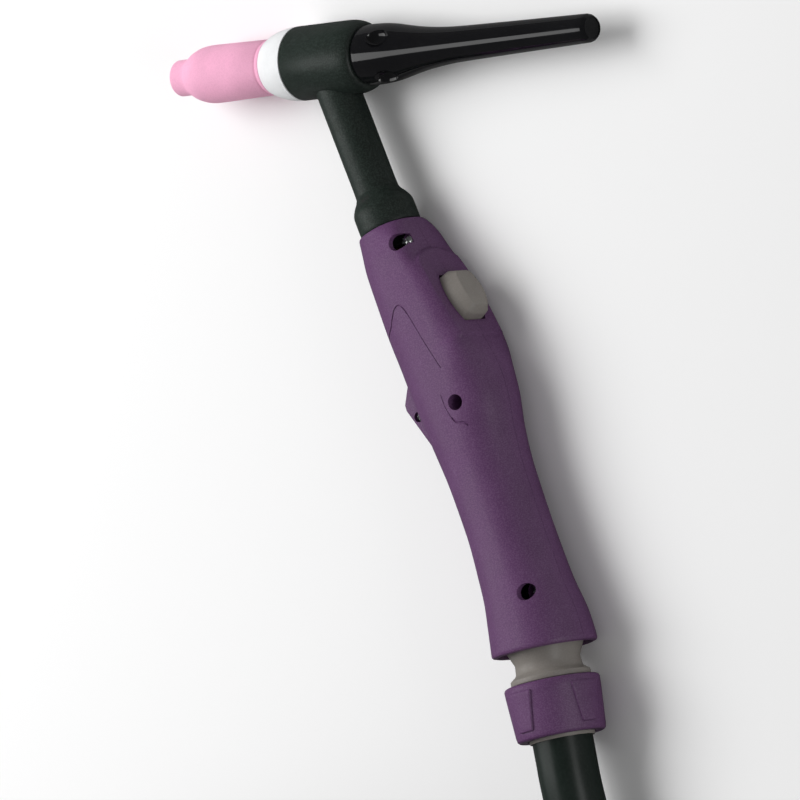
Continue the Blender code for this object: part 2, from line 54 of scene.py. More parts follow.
def along(angle, x=0.0, y=0.0):
    # X points down the handle, at an angle in degrees from the head's axis
    return torchPlace @ Matrix.Translation((x * mm, y * mm, 0)) @ Matrix.Rotation(
        -math.radians(angle), 4, "Z")


def lerp(a, b, t):
    return a + (b - a) * t


def smoothStep(value):
    value = max(0.0, min(1.0, value))
    return value * value * (3 - 2 * value)


def curveThrough(points, steps):
    # a smooth curve through given points, with a few steps in each span
    points = [Vector(p) for p in points]
    padded = [2 * points[0] - points[1]] + points + [2 * points[-1] - points[-2]]
    fine = []
    for a, b, c, d in zip(padded, padded[1:], padded[2:], padded[3:]):
        for k in range(steps):
            t = k / steps
            fine.append(0.5 * (2 * b + (c - a) * t + (2 * a - 5 * b + 4 * c - d) * t * t
                               + (3 * b - a - 3 * c + d) * t ** 3))
    return fine + [points[-1]]


# ---- camera
camera = {
    "aim": (21.4, -138.5, 0.0),        # in the torch's own lengths
    "distance": 12.22,
    "seen": 0.320,                     # metres across at that distance
    "sensor": 36.0,
    "back": (0.656, -0.02, 0.7545),    # from the torch to the camera
    "up": (0.0879, 0.9949, -0.0502),
    "roll": 0.2,                       # degrees
}


def makeCamera():
    turn = torchPlace.to_3x3()
    back = (turn @ Vector(camera["back"])).normalized()
    right = (turn @ Vector(camera["up"])).cross(back).normalized()
    view = Matrix((right, back.cross(right), back)).transposed().to_4x4()
    view = view @ Matrix.Rotation(math.radians(camera["roll"]), 4, "Z")
    view.translation = torchPlace @ (Vector(camera["aim"]) * mm) + back * camera["distance"]
    data = bpy.data.cameras.new("camera")
    data.sensor_width = camera["sensor"]
    data.lens = camera["sensor"] * camera["distance"] / camera["seen"]
    data.clip_end = 60.0
    made = bpy.data.objects.new("camera", data)
    bpy.context.scene.collection.objects.link(made)
    made.matrix_world = view
    bpy.context.scene.camera = made
    print("camera ready")


makeCamera()


# ---- effects that several materials share
def newGroup(name, inputs, outputs):
    group = bpy.data.node_groups.new(name, "ShaderNodeTree")
    for socket, kind, value in inputs:
        made = group.interface.new_socket(socket, in_out="INPUT", socket_type=kind)
        made.default_value = value
    for socket, kind in outputs:
        group.interface.new_socket(socket, in_out="OUTPUT", socket_type=kind)
    nodes = group.nodes
    return group, nodes.new("NodeGroupInput"), nodes.new("NodeGroupOutput")


def addNoise(group, scale, detail, roughness=0.5):
    noise = group.nodes.new("ShaderNodeTexNoise")
    noise.inputs["Scale"].default_value = scale
    noise.inputs["Detail"].default_value = detail
    noise.inputs["Roughness"].default_value = roughness
    return noise


def addRange(group, source, low, high, fromLow=0.0, fromHigh=1.0):
    # a value mapped from one range to another; low and high may be sockets
    node = group.nodes.new("ShaderNodeMapRange")
    group.links.new(source, node.inputs["Value"])
    node.inputs["From Min"].default_value = fromLow
    node.inputs["From Max"].default_value = fromHigh
    for name, value in (("To Min", low), ("To Max", high)):
        if isinstance(value, bpy.types.NodeSocket):
            group.links.new(value, node.inputs[name])
        else:
            node.inputs[name].default_value = value
    return node.outputs["Result"]


def makeGrainGroup():
    # moulded or fired grain: speckled colour, uneven roughness and a height for bump
    group, entry, leave = newGroup("fineGrain", [
        ("Color", "NodeSocketColor", (0.5, 0.5, 0.5, 1)),
        ("Speck", "NodeSocketColor", (0.6, 0.6, 0.6, 1)),
        ("Grain", "NodeSocketFloat", 2000.0),
        ("Amount", "NodeSocketFloat", 0.5),
        ("Roughness", "NodeSocketFloat", 0.5),
    ], [("Color", "NodeSocketColor"), ("Roughness", "NodeSocketFloat"),
        ("Height", "NodeSocketFloat")])
    links = group.links
    place = group.nodes.new("ShaderNodeTexCoord").outputs["Object"]
    grain = addNoise(group, 2000, 2)
    links.new(entry.outputs["Grain"], grain.inputs["Scale"])
    cloud = addNoise(group, 55, 3)
    for noise in (grain, cloud):
        links.new(place, noise.inputs["Vector"])
    speckle = addRange(group, grain.outputs["Fac"], 0.0, entry.outputs["Amount"], 0.42, 0.66)
    mix = group.nodes.new("ShaderNodeMix")
    mix.data_type = "RGBA"
    links.new(speckle, mix.inputs["Factor"])
    links.new(entry.outputs["Color"], mix.inputs["A"])
    links.new(entry.outputs["Speck"], mix.inputs["B"])
    tone = group.nodes.new("ShaderNodeHueSaturation")
    links.new(addRange(group, cloud.outputs["Fac"], 0.93, 1.07, 0.3, 0.7), tone.inputs["Value"])
    links.new(mix.outputs["Result"], tone.inputs["Color"])
    links.new(tone.outputs["Color"], leave.inputs["Color"])
    rough = group.nodes.new("ShaderNodeMath")
    links.new(entry.outputs["Roughness"], rough.inputs[0])
    links.new(addRange(group, cloud.outputs["Fac"], -0.05, 0.05, 0.3, 0.7), rough.inputs[1])
    links.new(rough.outputs[0], leave.inputs["Roughness"])
    links.new(grain.outputs["Fac"], leave.inputs["Height"])
    return group


def makeMetalGroup():
    # fine tool lines round or along a part, with a slow change of tone
    group, entry, leave = newGroup("toolLines", [
        ("Color", "NodeSocketColor", (0.5, 0.5, 0.5, 1)),
        ("Stretch", "NodeSocketVector", (1, 1, 1)),
        ("Lines", "NodeSocketFloat", 1500.0),
        ("Roughness", "NodeSocketFloat", 0.3),
    ], [("Color", "NodeSocketColor"), ("Roughness", "NodeSocketFloat"),
        ("Height", "NodeSocketFloat")])
    links = group.links
    place = group.nodes.new("ShaderNodeTexCoord").outputs["Object"]
    stretch = group.nodes.new("ShaderNodeVectorMath")
    stretch.operation = "MULTIPLY"
    links.new(place, stretch.inputs[0])
    links.new(entry.outputs["Stretch"], stretch.inputs[1])
    lines = addNoise(group, 1500, 2)
    links.new(entry.outputs["Lines"], lines.inputs["Scale"])
    links.new(stretch.outputs[0], lines.inputs["Vector"])
    cloud = addNoise(group, 120, 2)
    links.new(place, cloud.inputs["Vector"])
    tone = group.nodes.new("ShaderNodeHueSaturation")
    links.new(addRange(group, cloud.outputs["Fac"], 0.85, 1.12, 0.3, 0.7), tone.inputs["Value"])
    links.new(entry.outputs["Color"], tone.inputs["Color"])
    links.new(tone.outputs["Color"], leave.inputs["Color"])
    rough = group.nodes.new("ShaderNodeMath")
    links.new(entry.outputs["Roughness"], rough.inputs[0])
    links.new(addRange(group, lines.outputs["Fac"], -0.08, 0.1, 0.3, 0.7), rough.inputs[1])
    links.new(rough.outputs[0], leave.inputs["Roughness"])
    links.new(lines.outputs["Fac"], leave.inputs["Height"])
    return group


grainGroup = makeGrainGroup()
metalGroup = makeMetalGroup()
finishes = {}


def newFinish(name, group, values, bump, shader):
    # a material with one shared effect, its own values and a bump from the effect's height
    made = bpy.data.materials.new(name)
    made.use_nodes = True
    nodes, links = made.node_tree.nodes, made.node_tree.links
    surface = nodes["Principled BSDF"]
    effect = nodes.new("ShaderNodeGroup")
    effect.node_tree = group
    for socket, value in values.items():
        effect.inputs[socket].default_value = value
    links.new(effect.outputs["Color"], surface.inputs["Base Color"])
    links.new(effect.outputs["Roughness"], surface.inputs["Roughness"])
    relief = nodes.new("ShaderNodeBump")
    relief.inputs["Strength"].default_value = bump[0]
    relief.inputs["Distance"].default_value = bump[1] * mm
    links.new(effect.outputs["Height"], relief.inputs["Height"])
    links.new(relief.outputs["Normal"], surface.inputs["Normal"])
    for socket, value in shader.items():
        surface.inputs[socket].default_value = value
    finishes[name] = made


def grained(name, color, speck, grain, amount, roughness, bump=(0.3, 0.05), **shader):
    newFinish(name, grainGroup, {
        "Color": (*color, 1), "Speck": (*speck, 1), "Grain": grain, "Amount": amount,
        "Roughness": roughness}, bump, {k.replace("_", " "): v for k, v in shader.items()})


def metal(name, color, roughness, stretch=(1, 1, 1), lines=1500.0, bump=(0.12, 0.02)):
    newFinish(name, metalGroup, {
        "Color": (*color, 1), "Stretch": stretch, "Lines": lines, "Roughness": roughness},
        bump, {"Metallic": 1.0})


def makeFinishes():
    grained("pinkCeramic", (0.90, 0.44, 0.62), (0.80, 0.36, 0.53), 1500, 0.5, 0.62)
    grained("whitePtfe", (0.84, 0.85, 0.86), (0.80, 0.81, 0.82), 900, 0.4, 0.38, (0.1, 0.03))
    grained("headRubber", (0.011, 0.017, 0.0135), (0.03, 0.042, 0.036), 1700, 0.9, 0.42,
            (0.45, 0.08))
    grained("cableCover", (0.010, 0.017, 0.0135), (0.018, 0.026, 0.022), 900, 0.5, 0.36,
            (0.2, 0.05))
    grained("purpleMoulding", (0.105, 0.040, 0.118), (0.16, 0.078, 0.175), 1900, 0.8, 0.46,
            (0.5, 0.08))
    grained("greyNylon", (0.235, 0.215, 0.195), (0.27, 0.25, 0.23), 1500, 0.5, 0.42, (0.2, 0.04))
    grained("blackGloss", (0.004, 0.004, 0.005), (0.006, 0.006, 0.007), 400, 0.5, 0.09,
            (0.02, 0.02), Coat_Weight=0.6, Coat_Roughness=0.04)
    grained("blackMoulding", (0.02, 0.02, 0.021), (0.035, 0.035, 0.036), 1600, 0.6, 0.5)
    grained("softRubber", (0.014, 0.014, 0.015), (0.03, 0.03, 0.031), 1300, 0.6, 0.55)
    grained("tieFabric", (0.018, 0.018, 0.02), (0.05, 0.05, 0.055), 2600, 1.0, 0.85, (0.9, 0.2),
            Sheen_Weight=0.3)
    metal("turnedBrass", (0.78, 0.55, 0.23), 0.26, (8, 1, 1))
    metal("drawnCopper", (0.82, 0.43, 0.28), 0.3, (1, 1, 1))
    metal("groundTungsten", (0.42, 0.42, 0.44), 0.3, (1, 20, 20))
    metal("zincPlate", (0.72, 0.75, 0.74), 0.22, (1, 1, 1), 900.0)
    print("materials ready")


makeFinishes()


# ---- helpers that make and finish a mesh
def finish(source, name, body, material, nodes, angle=35):
    # a bmesh becomes a piece at the origin, riding on its body in place of its CAD nodes
    mesh = bpy.data.meshes.new(name)
    source.to_mesh(mesh)
    source.free()
    made = bpy.data.objects.new(name, mesh)
    bpy.context.scene.collection.objects.link(made)
    return dress(made, body, material, nodes, angle)


def dress(made, body, material, nodes, angle=35):
    made.data.materials.clear()
    made.data.materials.append(finishes[material])
    made.data.shade_smooth()
    made.data.set_sharp_from_angle(angle=math.radians(angle))
    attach(made, body)
    if nodes:
        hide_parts(*nodes)
    return made


def softEdges(source, width, angle=30, segments=2):
    edges = [e for e in source.edges if len(e.link_faces) == 2
             and e.calc_face_angle() > math.radians(angle)]
    bmesh.ops.bevel(source, geom=edges, offset=width * mm, offset_type="OFFSET",
                    segments=segments, profile=0.5, affect="EDGES", material=-1,
                    clamp_overlap=True)


def turn(profile, place, sides=96, soft=0.25):
    # spin (along, radius) points about X; ends off the axis close into a ring
    source = bmesh.new()
    points = [source.verts.new((x * mm, r * mm, 0)) for x, r in profile]
    edges = [source.edges.new(pair) for pair in zip(points, points[1:])]
    if profile[0][1] > 0.0:
        edges.append(source.edges.new((points[-1], points[0])))
    bmesh.ops.spin(source, geom=points + edges, cent=(0, 0, 0), axis=(1, 0, 0),
                   angle=math.tau, steps=sides, use_merge=True)
    bmesh.ops.remove_doubles(source, verts=source.verts, dist=1e-6)
    bmesh.ops.recalc_face_normals(source, faces=source.faces)
    if soft:
        softEdges(source, soft)
    bmesh.ops.transform(source, matrix=place, verts=source.verts)
    return source


def stack(rings, place):
    # closed rings of points bridged one to the next, with both ends filled
    source = bmesh.new()
    loops = []
    for ring in rings:
        verts = [source.verts.new(Vector(p) * mm) for p in ring]
        loops.append([source.edges.new(pair) for pair in zip(verts, verts[1:] + verts[:1])])
    for first, second in zip(loops, loops[1:]):
        bmesh.ops.bridge_loops(source, edges=first + second)
    for loop in (loops[0], loops[-1]):
        bmesh.ops.contextual_create(source, geom=loop)
    bmesh.ops.recalc_face_normals(source, faces=source.faces)
    bmesh.ops.transform(source, matrix=place, verts=source.verts)
    return source


def cutterFrom(source, name):
    mesh = bpy.data.meshes.new(name)
    source.to_mesh(mesh)
    source.free()
    made = bpy.data.objects.new(name, mesh)
    bpy.context.scene.collection.objects.link(made)
    return made


def carve(target, tool, operation="DIFFERENCE", solver="EXACT"):
    # a boolean that is applied at once, after which its tool is gone
    step = target.modifiers.new("carve", "BOOLEAN")
    step.object = tool
    step.operation = operation
    step.solver = solver
    graph = bpy.context.evaluated_depsgraph_get()
    mesh = bpy.data.meshes.new_from_object(target.evaluated_get(graph))
    target.modifiers.clear()
    target.data = mesh
    bpy.data.objects.remove(tool)


# ---- the cable and everything on it
coilX, coilY = -30.0, -475.0
groundX, groundY = torchPlace.translation.x, torchPlace.translation.y

cableLook = {
    "radius": 12.3,
    "controlRadius": 2.5,
    "stepsPerSpan": 4,
    "turnAngles": range(0, 360, 12),
    "innerTurn": 123.0,
    "outerTurn": 148.0,
    "lowLayer": 14.3,
    "highLayer": 38.9,
}
leadRoute = [
    (88.60, -270.90, 20.88), (90.45, -285.80, 21.20), (92.30, -300.70, 21.45),
    (95.3, -323.0, 19.9), (98.8, -345.0, 16.7), (102.2, -365.0, 14.0),
    (107.5, -395.0, 12.9), (114.5, -435.0, 13.4),
]
tailRoute = [
    (360, 148.2, 38.9), (375, 153.8, 38.9), (390, 164.8, 36.5), (400, 170.2, 29.0),
    (406, 174.6, 23.5), (412, 178, 19.6), (419, 180, 17.8), (426, 180, 18.4), (432, 180, 19.3)]


def ground(point):
    # millimetres on the level ground under the torch's crossing point, to the row frame
    return Vector((point[0] * mm + groundX, point[1] * mm + groundY, point[2] * mm))


def roundCoil(angle, radius, height):
    angle = math.radians(angle)
    return (coilX + radius * math.cos(angle), coilY - radius * math.sin(angle), height)


def coilPoints():
    # bottom outer, bottom inner, top inner, top outer; each end passes inside the next start
    look = cableLook
    inner, outer, low, high = (look[k] for k in ("innerTurn", "outerTurn", "lowLayer", "highLayer"))
    pitch = high - low
    points = []
    for radius in (outer, inner):
        for angle in look["turnAngles"]:
            share = smoothStep((angle - 296) / 60)
            points.append(roundCoil(angle, radius - pitch * share, low))
    for angle in look["turnAngles"]:
        climb = math.pi / 2 * smoothStep(angle / 52)
        points.append(roundCoil(angle, inner - pitch * math.cos(climb),
                                low + pitch * math.sin(climb)))
    for angle in look["turnAngles"]:
        points.append(roundCoil(angle, lerp(inner, outer, smoothStep(angle / 48)), high))
    return points


def onward(angle, radius, height):
    # X points on along the coil's clockwise way round
    place = Matrix.Translation(ground(roundCoil(angle, radius, height)))
    return place @ Matrix.Rotation(-math.radians(90 + angle), 4, "Z")


def cordCurve(name, points, radius, material, steps, sides):
    curve = bpy.data.curves.new(name, "CURVE")
    curve.dimensions = "3D"
    curve.bevel_depth = radius * mm
    curve.bevel_resolution = sides
    curve.use_fill_caps = True
    route = curveThrough(points, steps)
    line = curve.splines.new("POLY")
    line.points.add(len(route) - 1)
    for target, source in zip(line.points, route):
        target.co = (*source, 1.0)
    line.use_smooth = True
    curve.materials.append(finishes[material])
    made = bpy.data.objects.new(name, curve)
    bpy.context.scene.collection.objects.link(made)
    length = sum((b - a).length for a, b in zip(route, route[1:]))
    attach(made, "ball")
    return made, length, route[0]


def makePlugs():
    place = onward(72.0, 180.0, 19.3)
    ribs = []
    for k in range(5):                               # bend relief ribs on the boot
        x = 4.0 + 4.2 * k
        r = 13.4 + 0.85 * k
        ribs += [(x, r), (x + 2.6, r + 0.5), (x + 2.9, r - 0.9), (x + 3.9, r - 0.8)]
    boot = [(1.3, 12.5), (1.3, 13.2)] + ribs + [
        (27.0, 18.3), (30.0, 19.0), (36.5, 19.0), (38.3, 18.2), (38.3, 12.5)]
    finish(turn(boot, place), "strain_relief_boot", "ball", "softRubber",
           ["plug_boot"])
    grooves = []
    for k in range(7):
        x = 44.0 + 4.4 * k
        grooves += [(x, 13.0), (x + 0.5, 12.3), (x + 1.3, 12.3), (x + 1.8, 13.0)]
    body = [(38.6, 0.0), (38.6, 12.4), (39.2, 13.0)] + grooves + [
        (76.0, 13.0), (78.0, 12.0), (82.0, 12.0), (82.0, 0.0)]
    finish(turn(body, place), "power_plug_body", "ball", "blackMoulding",
           ["plug_body"])
    finish(turn([(82.3, 0.0), (82.3, 6.5), (90.0, 6.5), (90.6, 5.7), (92.6, 5.7), (93.2, 6.5),
                 (104.0, 6.5), (106.0, 5.5), (106.0, 0.0)], place), "power_plug_pin", "ball",
           "turnedBrass", ["plug_pin"])
    place = onward(148.0, 173.5, 8.3)
    knurls = []
    for k in range(6):
        x = 12.0 + 2.8 * k
        knurls += [(x, 8.0), (x + 0.4, 7.5), (x + 1.0, 7.5), (x + 1.4, 8.0)]
    finish(turn([(0.6, 0.0), (0.6, 3.4), (8.0, 5.0), (9.0, 7.2), (10.0, 8.0)] + knurls + [
        (30.0, 8.0), (30.6, 6.8), (37.0, 6.8), (37.0, 0.0)], place, 72), "control_plug_body",
        "ball", "blackMoulding", ["control_plug"])


tieLook = {
    "angles": (110, 215, 296),         # where the straps are round the coil
    "inner": 109.2,
    "outer": 160.6,
    "top": 51.5,
    "corner": 11.0,
    "thick": 1.1,
    "width": 20.0,
}


def makeTies():
    # hook and loop straps: a rounded loop round the bundle, given a width and a thickness
    inner, outer, top, width = (tieLook[k] for k in ("inner", "outer", "top", "width"))
    for number, angle in enumerate(tieLook["angles"]):
        source = bmesh.new()
        corners = [(0, inner, 1.2), (0, outer, 1.2), (0, outer, top), (0, inner, top)]
        verts = [source.verts.new(Vector(p) * mm) for p in corners]
        edges = [source.edges.new(pair) for pair in zip(verts, verts[1:] + verts[:1])]
        bmesh.ops.bevel(source, geom=verts + edges, offset=tieLook["corner"] * mm, segments=8, profile=0.5,
                        affect="VERTICES", material=-1)
        for step in range(4):
            free = [e for e in source.edges if len(e.link_faces) < 2
                    and all(abs(v.co.x - step * width / 4 * mm) < 1e-6 for v in e.verts)]
            grown = bmesh.ops.extrude_edge_only(source, edges=free)["geom"]
            bmesh.ops.translate(source, vec=(width / 4 * mm, 0, 0),
                                verts=[g for g in grown if isinstance(g, bmesh.types.BMVert)])
        bmesh.ops.translate(source, vec=(-width / 2 * mm, 0, 0), verts=source.verts)
        bmesh.ops.recalc_face_normals(source, faces=source.faces)
        bmesh.ops.solidify(source, geom=source.faces[:], thickness=-tieLook["thick"] * mm)
        place = Matrix.Translation(ground((coilX, coilY, 0.0)))
        place = place @ Matrix.Rotation(-math.radians(angle + 90), 4, "Z")
        bmesh.ops.transform(source, matrix=place, verts=source.verts)
        finish(source, f"coil_strap_{number + 1}", "ball", "tieFabric",
               [f"cable_tie_{number + 1}"], 50)


def makeCables():
    makePlugs()
    makeTies()
    look = cableLook
    points = [ground(p) for p in leadRoute + coilPoints()[1:]]
    points += [ground(roundCoil(*p)) for p in tailRoute]
    cable, length, start = cordCurve("main_cable", points, look["radius"],
                                     "cableCover", look["stepsPerSpan"], 8)
    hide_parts("cable_lead", "cable_coil", "cable_tail")
    print(f"main cable {length:.3f} m")
    boot = onward(72.0, 180.0, 19.3)
    points = [boot @ (Vector(p) * mm) for p in ((38.8, -16.0, 0.0), (50.0, -16.4, -1.5))]
    points += [ground(roundCoil(*p)) for p in (
        (99, 169.5, 8.0), (107, 168.5, 3.0), (118, 168.5, 2.7), (130, 169.0, 2.7),
        (141, 171.5, 4.5), (148, 173.5, 8.3))]
    lead, length, start = cordCurve("control_cable", points, look["controlRadius"],
                                    "softRubber", 6, 4)
    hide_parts("control_lead")
    print(f"control lead {length:.3f} m")
    print("cables ready")


makeCables()


# ---- head: nozzle, gasket, cover, cap and what shows inside the nozzle
headLook = {
    "radius": 15.0,
    "nozzleFront": -78.4,
    "capEnd": 141.2,
    "flutes": 4,
    "fluteRadius": 4.6,
}


def makeHead():
    look = headLook
    front, end = look["nozzleFront"], look["capEnd"]
    shoulder = curveThrough([(-72.8, 7.3), (-71.0, 7.75), (-69.4, 8.8), (-67.4, 9.85),
                             (-65.2, 10.7), (-63.0, 11.3), (-60.2, 11.65), (-57.0, 11.7)], 4)
    finish(turn([(front, 4.75), (front, 6.7), (front + 0.25, 7.1), (front + 0.7, 7.3)]
                + [tuple(p) for p in shoulder] + [
        (-45.0, 11.5), (-30.4, 11.3), (-29.9, 11.0), (-29.6, 10.8), (-29.3, 10.8), (-29.0, 11.0),
        (-28.7, 11.2), (-27.7, 11.2), (-27.5, 11.0), (-27.5, 7.3), (-39.0, 7.3), (-40.0, 8.2),
        (-58.0, 8.2), (-64.0, 5.4), (-69.0, 4.75)], torchPlace, soft=0),
        "ceramic_nozzle", "nozzle", "pinkCeramic", ["nozzle"])
    dome = curveThrough([(-27.2, 11.5), (-25.6, 12.3), (-23.2, 13.3), (-20.4, 14.1),
                         (-17.4, 14.65), (-14.6, 14.92), (-13.2, 15.0)], 4)
    finish(turn([(-27.2, 7.3)] + [tuple(p) for p in dome] + [(-13.2, 7.3)], torchPlace),
           "insulator_gasket", "gasket", "whitePtfe", ["nozzle_gasket"])
    finish(turn([(-75.0, 0.0), (-75.0, 0.25), (-74.4, 0.45), (-70.5, 1.6), (75.0, 1.6),
                 (75.0, 0.0)], torchPlace, 48, 0), "ground_electrode", "electrode",
           "groundTungsten", ["electrode"])
    makeCap(end)
    makeCover()
    print("head ready")


def makeCap(end):
    look = headLook
    taper = curveThrough([(23.3, 12.15), (28.6, 12.2), (34.6, 11.85), (39.5, 11.15), (43.5, 10.35),
                          (49.0, 9.35), (54.7, 8.5), (62.0, 7.75), (70.0, 7.25), (84.0, 6.9)], 4)
    profile = [(130.0, 0.0), (130.0, 2.2), (9.0, 2.2), (9.0, 7.7), (22.7, 7.7), (22.7, 11.6),
               (22.9, 11.95)] + [tuple(p) for p in taper] + [
        (100.5, 6.55), (120.0, 6.2), (end - 4.6, 5.9), (end - 2.4, 5.85), (end - 1.2, 5.55),
        (end - 0.45, 5.05), (end, 4.75), (end, 4.3), (end - 0.35, 4.15), (end - 0.35, 0.0)]
    cap = finish(turn(profile, torchPlace, soft=0), "long_back_cap", "back_cap",
                 "blackGloss", ["back_cap"])
    for number in range(look["flutes"]):             # finger flutes with ball ends
        angle = math.radians(58 + 360 / look["flutes"] * number)
        flute = bmesh.new()
        bmesh.ops.create_uvsphere(flute, u_segments=40, v_segments=20,
                                  radius=look["fluteRadius"] * mm)
        bmesh.ops.scale(flute, vec=(1.25, 1.0, 1.0), verts=flute.verts)
        bmesh.ops.rotate(flute, cent=(0, 0, 0), matrix=Matrix.Rotation(-0.20, 3, "Z"),
                         verts=flute.verts)
        bmesh.ops.translate(flute, vec=(36.0 * mm, 13.2 * mm, 0), verts=flute.verts)
        bmesh.ops.transform(flute, matrix=torchPlace @ Matrix.Rotation(angle, 4, "X"),
                            verts=flute.verts)
        carve(cap, cutterFrom(flute, "flute"))
    cap.data.shade_smooth()
    cap.data.set_sharp_from_angle(angle=math.radians(32))


def makeCover():
    # rubber over the head and the neck: two turned shapes made one, then bored
    front, rear, radius = -12.9, 22.3, headLook["radius"]
    fillet = [(rear - 8 + 8 * math.sin(a), radius - 2.9 * (1 - math.cos(a)))
              for a in (math.pi / 2 * k / 9 for k in range(10))]
    cover = finish(turn([(front, 0.0), (front, radius - 0.25), (front + 0.25, radius)] + fillet
                        + [(rear, 0.0)], torchPlace, 120, 0),
                   "rubber_head_cover", "handle", "headRubber", ["head_cover"])
    neck = curveThrough([(40.0, 8.9), (56.0, 8.9), (59.6, 9.3), (62.6, 11.2), (65.2, 12.4), (68.0, 12.6),
                         (74.3, 12.6)], 4)
    neck = cutterFrom(turn([(11.0, 0.0), (11.0, 8.9)] + [tuple(p) for p in neck] + [
        (74.7, 12.4), (74.75, 7.0), (84.0, 7.0), (84.0, 0.0)], along(70.0), 96, 0),
        "neck")
    carve(cover, neck, "UNION")
    carve(cover, cutterFrom(turn([(-20.0, 0.0), (-20.0, 9.8), (30.0, 9.8), (30.0, 0.0)],
                                 torchPlace, 64, 0), "bore"))
    carve(cover, cutterFrom(turn([(5.0, 0.0), (5.0, 4.3), (95.0, 4.3), (95.0, 0.0)],
                                 along(70.0), 48, 0), "bore"))
    cover.data.shade_smooth()
    cover.data.set_sharp_from_angle(angle=math.radians(48))


makeHead()


# ---- handle: two moulded halves with a flat panel for the button, wells, seams and a hook
handleLook = {
    # centre x and y, depth to front and back, half width, lean, squareness of the back
    "sections": [
        (26.1, -70.3, 13.6, 12.4, 14.0, 70.0, 2.2), (31.0, -76.2, 17.8, 10.9, 15.0, 70.0, 4.0),
        (34.3, -83.3, 19.5, 11.6, 16.0, 71.0, 4.6), (40.5, -96.0, 21.6, 14.5, 16.8, 72.0, 5.0),
        (46.4, -108.5, 23.4, 15.9, 17.2, 72.0, 5.2), (50.7, -121.0, 22.8, 18.1, 17.3, 72.5, 5.0),
        (54.6, -133.3, 22.2, 20.8, 17.3, 73.0, 3.0), (58.2, -145.7, 20.8, 21.2, 17.3, 73.5, 2.4),
        (61.6, -158.1, 18.9, 19.1, 17.0, 74.0, 2.2), (65.1, -170.5, 17.3, 17.7, 16.5, 74.0, 2.2),
        (69.1, -182.9, 17.1, 17.1, 16.3, 74.0, 2.2), (72.9, -195.3, 17.0, 17.0, 16.4, 74.0, 2.2),
        (76.6, -207.7, 18.0, 17.3, 16.8, 75.0, 2.2), (80.2, -220.1, 19.0, 17.9, 17.7, 77.0, 2.2),
        (83.5, -232.4, 21.0, 19.9, 19.2, 80.0, 2.2), (85.25, -244.1, 21.8, 21.4, 20.0, 83.0, 2.2),
    ],
    "roundness": 2.2,
    "wall": 2.4,
    "rims": ((0.15, 1.0), (0.2, 2.0)),    # length in section numbers, depth, top and bottom
    "split": 0.06,                    # half the gap between the halves
    "panelPoint": (51.03, -86.86),    # a point on the flat panel, and its outward direction
    "panelOut": (0.8526, 0.5225),
    "panelSpan": (1.96, 5.06),        # in section numbers
    "hook": [(29.3, -129.6), (29.4, -133.0), (26.9, -141.0), (27.5, -143.4), (43.0, -163.6),
             (45.2, -162.7), (40.2, -151.0), (34.9, -139.3), (30.6, -128.4)],
    "hookHalf": 3.9,
    # centre, seat height, length below it, boss reach and radius, well and head radius
    "screws": {
        "top": (40.0, -76.1, 7.2, 14.2, 7.0, 1.95, 3.4, 2.6),
        "middle": (64.7, -142.3, 6.0, 15.0, 14.6, 3.8, 3.2, 2.6),
        "hook": (33.6, -146.2, 1.4, 4.2, 0.0, 0.0, 2.1, 1.9),
        "bottom": (91.0, -220.4, 7.0, 16.0, 9.4, 3.8, 3.4, 2.6),
    },
}
buttonLook = {
    "centre": (59.3, -100.4),
    "angle": 58.5,
    "length": 21.8,
    "width": 16.8,
    "taper": 0.28,
    "proud": 6.9,
}


def sectionAt(s):
    sections = handleLook["sections"]
    last = len(sections) - 1
    i = max(0, min(int(s), last - 1))
    t = s - i
    rows = [sections[max(0, min(last, i + k))] for k in (-1, 0, 1, 2)]
    return [0.5 * (2 * b + (c - a) * t + (2 * a - 5 * b + 4 * c - d) * t * t
                   + (3 * b - a - 3 * c + d) * t ** 3) for a, b, c, d in zip(*rows)]


def handlePoint(s, angle):
    # angle 0 is the back, a half turn is the front
    look = handleLook
    x, y, front, back, width, lean, square = sectionAt(s)
    lean = math.radians(lean)
    c, k = math.cos(angle), abs(math.sin(angle))
    depth, power = (back, square) if c > 0 else (front, look["roundness"])
    reach = ((abs(c) / depth) ** power + (k / width) ** power) ** (-1 / power)
    first, last = look["panelSpan"]
    if c > 0.05 and first - 0.5 < s < last + 0.5:
        out = Vector(look["panelOut"])
        level = (Vector(look["panelPoint"]) - Vector((x, y))).dot(out)
        level /= Vector((math.sin(lean), math.cos(lean))).dot(out)
        full = ((c / (back + 2.2)) ** 3.4 + (k / width) ** 3.4) ** (-1 / 3.4)
        flat = min(full, level / c)
        start = first + 0.42 * (min(1.0, reach * k / 13.0)) ** 2
        share = smoothStep((s - start) / 0.10) * smoothStep((last - s) / 0.05)
        reach = lerp(reach, flat, share)
    end = len(look["sections"]) - 1
    for gap, (lip, depth) in zip((s, end - s), look["rims"]):
        if gap < lip:
            reach -= depth * (1 - math.sqrt(1 - (1 - gap / lip) ** 2))
    return (x + reach * c * math.sin(lean), y + reach * c * math.cos(lean),
            reach * math.sin(angle))


